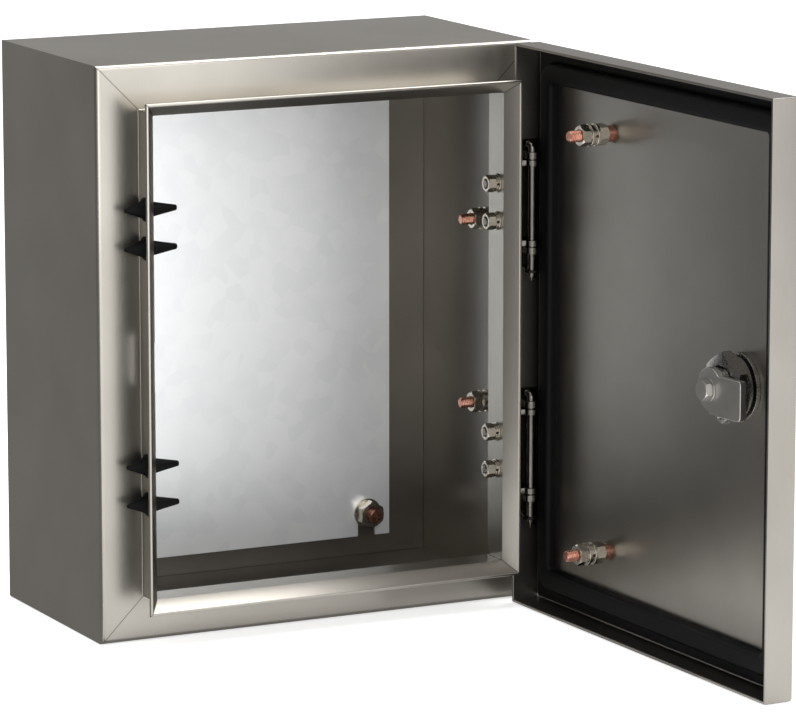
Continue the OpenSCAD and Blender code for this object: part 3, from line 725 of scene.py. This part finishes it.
# %% [markdown]
# ## Hinge screws, plugs and pins
#
# The hinge leaves are held by countersunk screws with a nut, a flat washer and a
# spring washer inside the rim. The same holes on the other side are closed by
# soft rubber plugs: two cones with a neck in the hole.

# %% Screws and their nuts, M5
hinge_level, screw_step = 66.5, 10
m5, m5_bore, m5_pitch, head_h = 5.0, 5.1, 0.8, 2.4
m5_flat_t, m5_spring_t, m5_nut_af, m5_nut_h = 1.0, 1.2, 8, 4.7
screw_low, screw_high = node_box("hinge_screws")
screw_y = (screw_low[1] + screw_high[1]) / 2
heights = [s * hinge_level + k * screw_step for s in (-1, 1) for k in (-1, 1)]
outside = [((screw_high[0], screw_y, z), (-1, 0, 0)) for z in heights]
inside = [((wall_x - rim_t, screw_y, z), (-1, 0, 0)) for z in heights]
head = revolve([(0, 0.9), (1.7, 0.9), (1.7, 0), (4.5, 0), (4.7, 0.15), (2.5, head_h)])
shank = thread_rod(m5, screw_high[0] - screw_low[0] - head_h, m5_pitch, tip=0.7, steps=28)
piece("hinge_screws_turned", many([(head, False, True, False)], outside)
      + many([(shank, False, True, False)], further(outside, head_h)),
      hinge_steel, "case", ["hinge_screws"])
piece("hinge_flat_rings", many([(washer(10, m5_flat_t, m5_bore), True, True, False)], inside),
      bright_zinc, "case", ["hinge_flat_washers"])
piece("hinge_spring_rings", many([(spring_washer(9, m5_spring_t, m5_bore), False, True, True)],
                                 further(inside, m5_flat_t)),
      bright_zinc, "case", ["hinge_spring_washers"])
piece("hinge_nuts", many([(hex_nut(m5_nut_af, m5_nut_h, m5_bore, 0.6, 8), True, True, False)],
                         further(inside, m5_flat_t + m5_spring_t)),
      bright_zinc, "case", ["hinge_screw_nuts"])

# %% Rubber plugs


def plug_profile():
    """Outer cone, thin disc against the wall, neck in the hole and the longer inner cone."""
    neck_r, out_len, in_len = 2.9, 12, 15.7
    tip = arc((0.2, -11.1), 0.9, 270, 345, 6)
    outer_cone = [(2.5, -7.4), (4.0, -3.4), (5.2, -1.0)]
    disc = arc((5.75, -0.5), 0.5, 270, 440, 6)
    neck = [(neck_r, 0), (neck_r, rim_t)]
    inner_cone = [(4.0, rim_t), (4.25, rim_t + 0.5), (2.9, rim_t + 7.5)]
    nose = arc((0.9, rim_t + 15.1), 0.6, 20, 90, 4)
    return np.concatenate([[(0, -out_len)], tip, outer_cone, disc, neck, inner_cone, nose,
                           [(0, rim_t + in_len)]])


left_holes = [((-wall_x, screw_y, z), (1, 0, 0)) for z in heights]
piece("hole_plugs", many([(revolve(plug_profile(), 40), False, True, False)], left_holes),
      rubber, "case", ["hinge_hole_plugs"])

# %% Bent hinge pins


def bent_pin(level):
    """Round wire: tip cone, groove, straight shaft, then a quarter turn and a short end.

    On the bend, x = hook - (hook - r cos t) cos a and z = top + (hook - r cos t) sin a.
    """
    r, hook = 2.0, 2.6
    leaf_half, ear_gap, ear_h, hook_gap, bend_lap = 22.7, 0.8, 3.6, 1.2, 0.3
    top = leaf_half + ear_gap + ear_h + hook_gap - bend_lap
    groove_r, groove_low, groove_high = 1.4, -37.0, -35.6
    cone_start, tip_z = -38.3, -41.7
    z = [tip_z, tip_z + 0.1, cone_start, groove_low, groove_low, groove_high, groove_high, 0, top]
    radius = [0.02, 0.35, r, r, groove_r, groove_r, r, r, r]
    t = np.linspace(0, 2 * np.pi, 36, endpoint=False)
    a = np.radians(np.linspace(0, 90, 10))[1:, None]
    shaft = np.stack([np.outer(radius, np.cos(t)), np.outer(radius, np.sin(t)),
                      np.broadcast_to(np.array(z)[:, None], (len(z), len(t)))], axis=-1)
    reach = hook - r * np.cos(t)[None, :]
    out, up = hook - reach * np.cos(a), top + reach * np.sin(a)
    elbow = np.stack([out, np.broadcast_to(r * np.sin(t), out.shape), up], axis=-1)
    ends = [np.stack([np.full_like(t, hook + far), scale * r * np.sin(t),
                      top + hook - scale * r * np.cos(t)], axis=-1)
            for far, scale in ((1.2, 1.0), (1.6, 0.8), (1.6, 0.01))]
    return np.concatenate([shaft, elbow, np.array(ends)]) + np.array([pin_place[0], pin_place[1], level])


for label, level in (("upper", hinge_level), ("lower", -hinge_level)):
    piece(label + "_bent_pin", [(bent_pin(level), False, True, False)], hinge_steel, "door",
          [label + "_hinge_pin"], swing)

# %% [markdown]
# ## Lock nut and cam bolt

# %% Large nut, cam washer and bolt
lock_inset = 48.5
lock_x = -case_w / 2 + lock_inset
seal_h, washer_h, ring_h, big_nut_h = 2.2, 1.2, 2.1, 7.4
barrel_over, stop_play, stop_t, cam_t = 0.4, 0.3, 2.1, 3.7
ring_start = seal_h + washer_h
nut_start = ring_start + ring_h
cam_front = nut_start + big_nut_h + barrel_over + stop_play + stop_t + cam_t
barrel_bore, cam_washer_t = 22.1, 0.8


def on_lock(shape, closed, h):
    """A turned shape on the lock axis, h millimetres inside the door panel."""
    return many([(shape, closed, True, False)], [((lock_x, -panel_inner + h, 0), (0, 1, 0))])


base_ring = washer(31.5, 2.2, barrel_bore, 0.3)
big_nut = hex_nut(32, big_nut_h, barrel_bore, 1.6)
piece("lock_big_nut", on_lock(base_ring, True, ring_start) + on_lock(big_nut, True, nut_start),
      smooth_nickel, "door", ["lock_nut"], swing)
piece("cam_ring", on_lock(washer(m6_washer_d, cam_washer_t, m6_bore), True, cam_front),
      satin_chrome, "lock", ["lock_cam_washer"], swing)
bolt_head = hex_nut(m6_nut_af, 4.0, 0, 0.8, 10, closed=True)
bolt_shank = revolve([(0, -9), (2.6, -9), (3, -8.6), (3, 1), (0, 1)], 32)
piece("cam_bolt", on_lock(bolt_head, False, cam_front + cam_washer_t) + on_lock(bolt_shank, False, cam_front),
      satin_chrome, "lock", ["lock_cam_bolt"], swing)

# %% [markdown]
# ## Floor, light and camera
#
# The enclosure stands on a pale floor in an even, pale room. Large soft lamps in
# front and above light the plate and the front frame. Dim cards on the left and
# behind, seen only in reflections, keep the sides calmer, which shows their form.

# %% Floor


def seen_directly(tree):
    """1 for rays of the camera, of reflections and of glass; 0 for light that falls on the part."""
    path = add(tree, "ShaderNodeLightPath").outputs
    mirrored = maths(tree, "MAXIMUM", path["Is Camera Ray"], path["Is Glossy Ray"])
    return maths(tree, "MAXIMUM", mirrored, path["Is Transmission Ray"])


def pale_floor():
    """Matt pale floor; camera rays get a little extra so that it reads as a white sheet."""
    material, tree = blank("pale floor")
    diffuse = add(tree, "ShaderNodeBsdfDiffuse", Color=linear("#efefef")).outputs[0]
    glow = add(tree, "ShaderNodeEmission", Strength=0.55).outputs[0]
    seen = add(tree, "ShaderNodeAddShader", _0=diffuse, _1=glow).outputs[0]
    mixed = add(tree, "ShaderNodeMixShader", _0=seen_directly(tree), _1=diffuse, _2=seen).outputs[0]
    close(tree, mixed)
    return material


def make_floor():
    """One large square just under the enclosure."""
    half = 30.0
    low = case_low[2] * MM - 0.0005
    mesh = bpy.data.meshes.new("floor")
    mesh.from_pydata([(-half, -half, low), (half, -half, low), (half, half, low), (-half, half, low)], [],
                     [(0, 1, 2, 3)])
    mesh.materials.append(pale_floor())
    obj = bpy.data.objects.new("floor", mesh)
    bpy.context.scene.collection.objects.link(obj)
    return obj


make_floor()

# %% World and lamps


def pale_world(strength):
    """White to the camera and in reflections; a calmer level for the light it throws."""
    world = bpy.data.worlds.new("pale room")
    bpy.context.scene.world = world
    world.use_nodes = True
    tree = world.node_tree
    tree.nodes.clear()
    light = add(tree, "ShaderNodeBackground", Color=linear("#f4f6f8"), Strength=strength).outputs[0]
    white = add(tree, "ShaderNodeBackground", Color=(1, 1, 1, 1), Strength=1.0).outputs[0]
    mixed = add(tree, "ShaderNodeMixShader", _0=seen_directly(tree), _1=light, _2=white).outputs[0]
    add(tree, "ShaderNodeOutputWorld", Surface=mixed)


def soft_lamp(name, place, target, side, power):
    """Square area lamp at place, turned towards target; metres and watts."""
    lamp = bpy.data.lights.new(name, "AREA")
    lamp.shape = "SQUARE"
    lamp.size = side
    lamp.energy = power
    obj = bpy.data.objects.new(name, lamp)
    bpy.context.scene.collection.objects.link(obj)
    way = Vector(target) - Vector(place)
    obj.location = place
    obj.rotation_euler = way.to_track_quat("-Z", "Y").to_euler()
    return obj


def studio_card(name, outline, strength):
    """Dim card that shows only in reflections: metal beside it stays calm, the floor stays white."""
    material, tree = blank(name)
    close(tree, add(tree, "ShaderNodeEmission", Color=linear("#fbfaf8"), Strength=strength).outputs[0])
    mesh = bpy.data.meshes.new(name)
    mesh.from_pydata(outline, [], [tuple(range(len(outline)))])
    mesh.materials.append(material)
    obj = bpy.data.objects.new(name, mesh)
    bpy.context.scene.collection.objects.link(obj)
    for way in ("camera", "diffuse", "transmission", "volume_scatter", "shadow"):
        setattr(obj, "visible_" + way, False)
    return obj


pale_world(0.9)
for kind, place, side, power in (("front", (-0.3, -2.4, 0.9), 1.6, 23), ("low", (0.6, -2.3, 0.1), 1.4, 8),
                                 ("top", (0.6, -0.2, 2.0), 1.8, 60)):
    soft_lamp(kind + " soft lamp", place, (0, -0.1, 0), side, power)
low_z, high_z = case_low[2] * MM - 0.0002, 1.6
left_x, right_x, back_y = -1.6, 2.4, 1.8
floor_outline = [(left_x, -0.9), (-0.5, -0.9), (-0.14, -0.13), (0.2, -0.13), (0.2, back_y), (left_x, back_y)]
door_outline = [(0.05, -0.32), (0.14, -0.32), (0.14, -0.14), (0.05, -0.14)]
studio_card("low card", [(x, y, low_z) for x, y in floor_outline], 0.38)
studio_card("door card", [(x, y, low_z + 0.0001) for x, y in door_outline], 0.7)
for kind, start, end, strength in (("side", (left_x, -0.9), (left_x, back_y), 0.22),
                                   ("back", (left_x, back_y), (right_x, back_y), 0.4)):
    studio_card(kind + " card", [(*start, low_z), (*end, low_z), (*end, high_z), (*start, high_z)], strength)

# %% Camera


def long_lens(azimuth, elevation, distance, slide, lens_mm):
    """Camera looking at the case from azimuth and elevation; slide moves it in its own plane."""
    a, e = math.radians(azimuth), math.radians(elevation)
    back = Vector((math.sin(a) * math.cos(e), -math.cos(a) * math.cos(e), math.sin(e)))
    right = Vector((math.cos(a), math.sin(a), 0))
    up = back.cross(right)
    data = bpy.data.cameras.new("long lens")
    data.sensor_width = 36.0
    data.lens = lens_mm
    data.clip_end = 200
    data.shift_y = -0.00124
    obj = bpy.data.objects.new("long lens", data)
    obj.location = back * distance + right * slide[0] + up * slide[1]
    obj.rotation_euler = back.to_track_quat("Z", "Y").to_euler()
    bpy.context.scene.collection.objects.link(obj)
    bpy.context.scene.camera = obj
    return obj


long_lens(-26.674, 10.568, 2.6975, (0.096822, -0.02994), 224.7965)
bpy.context.scene.view_settings.view_transform = "Standard"
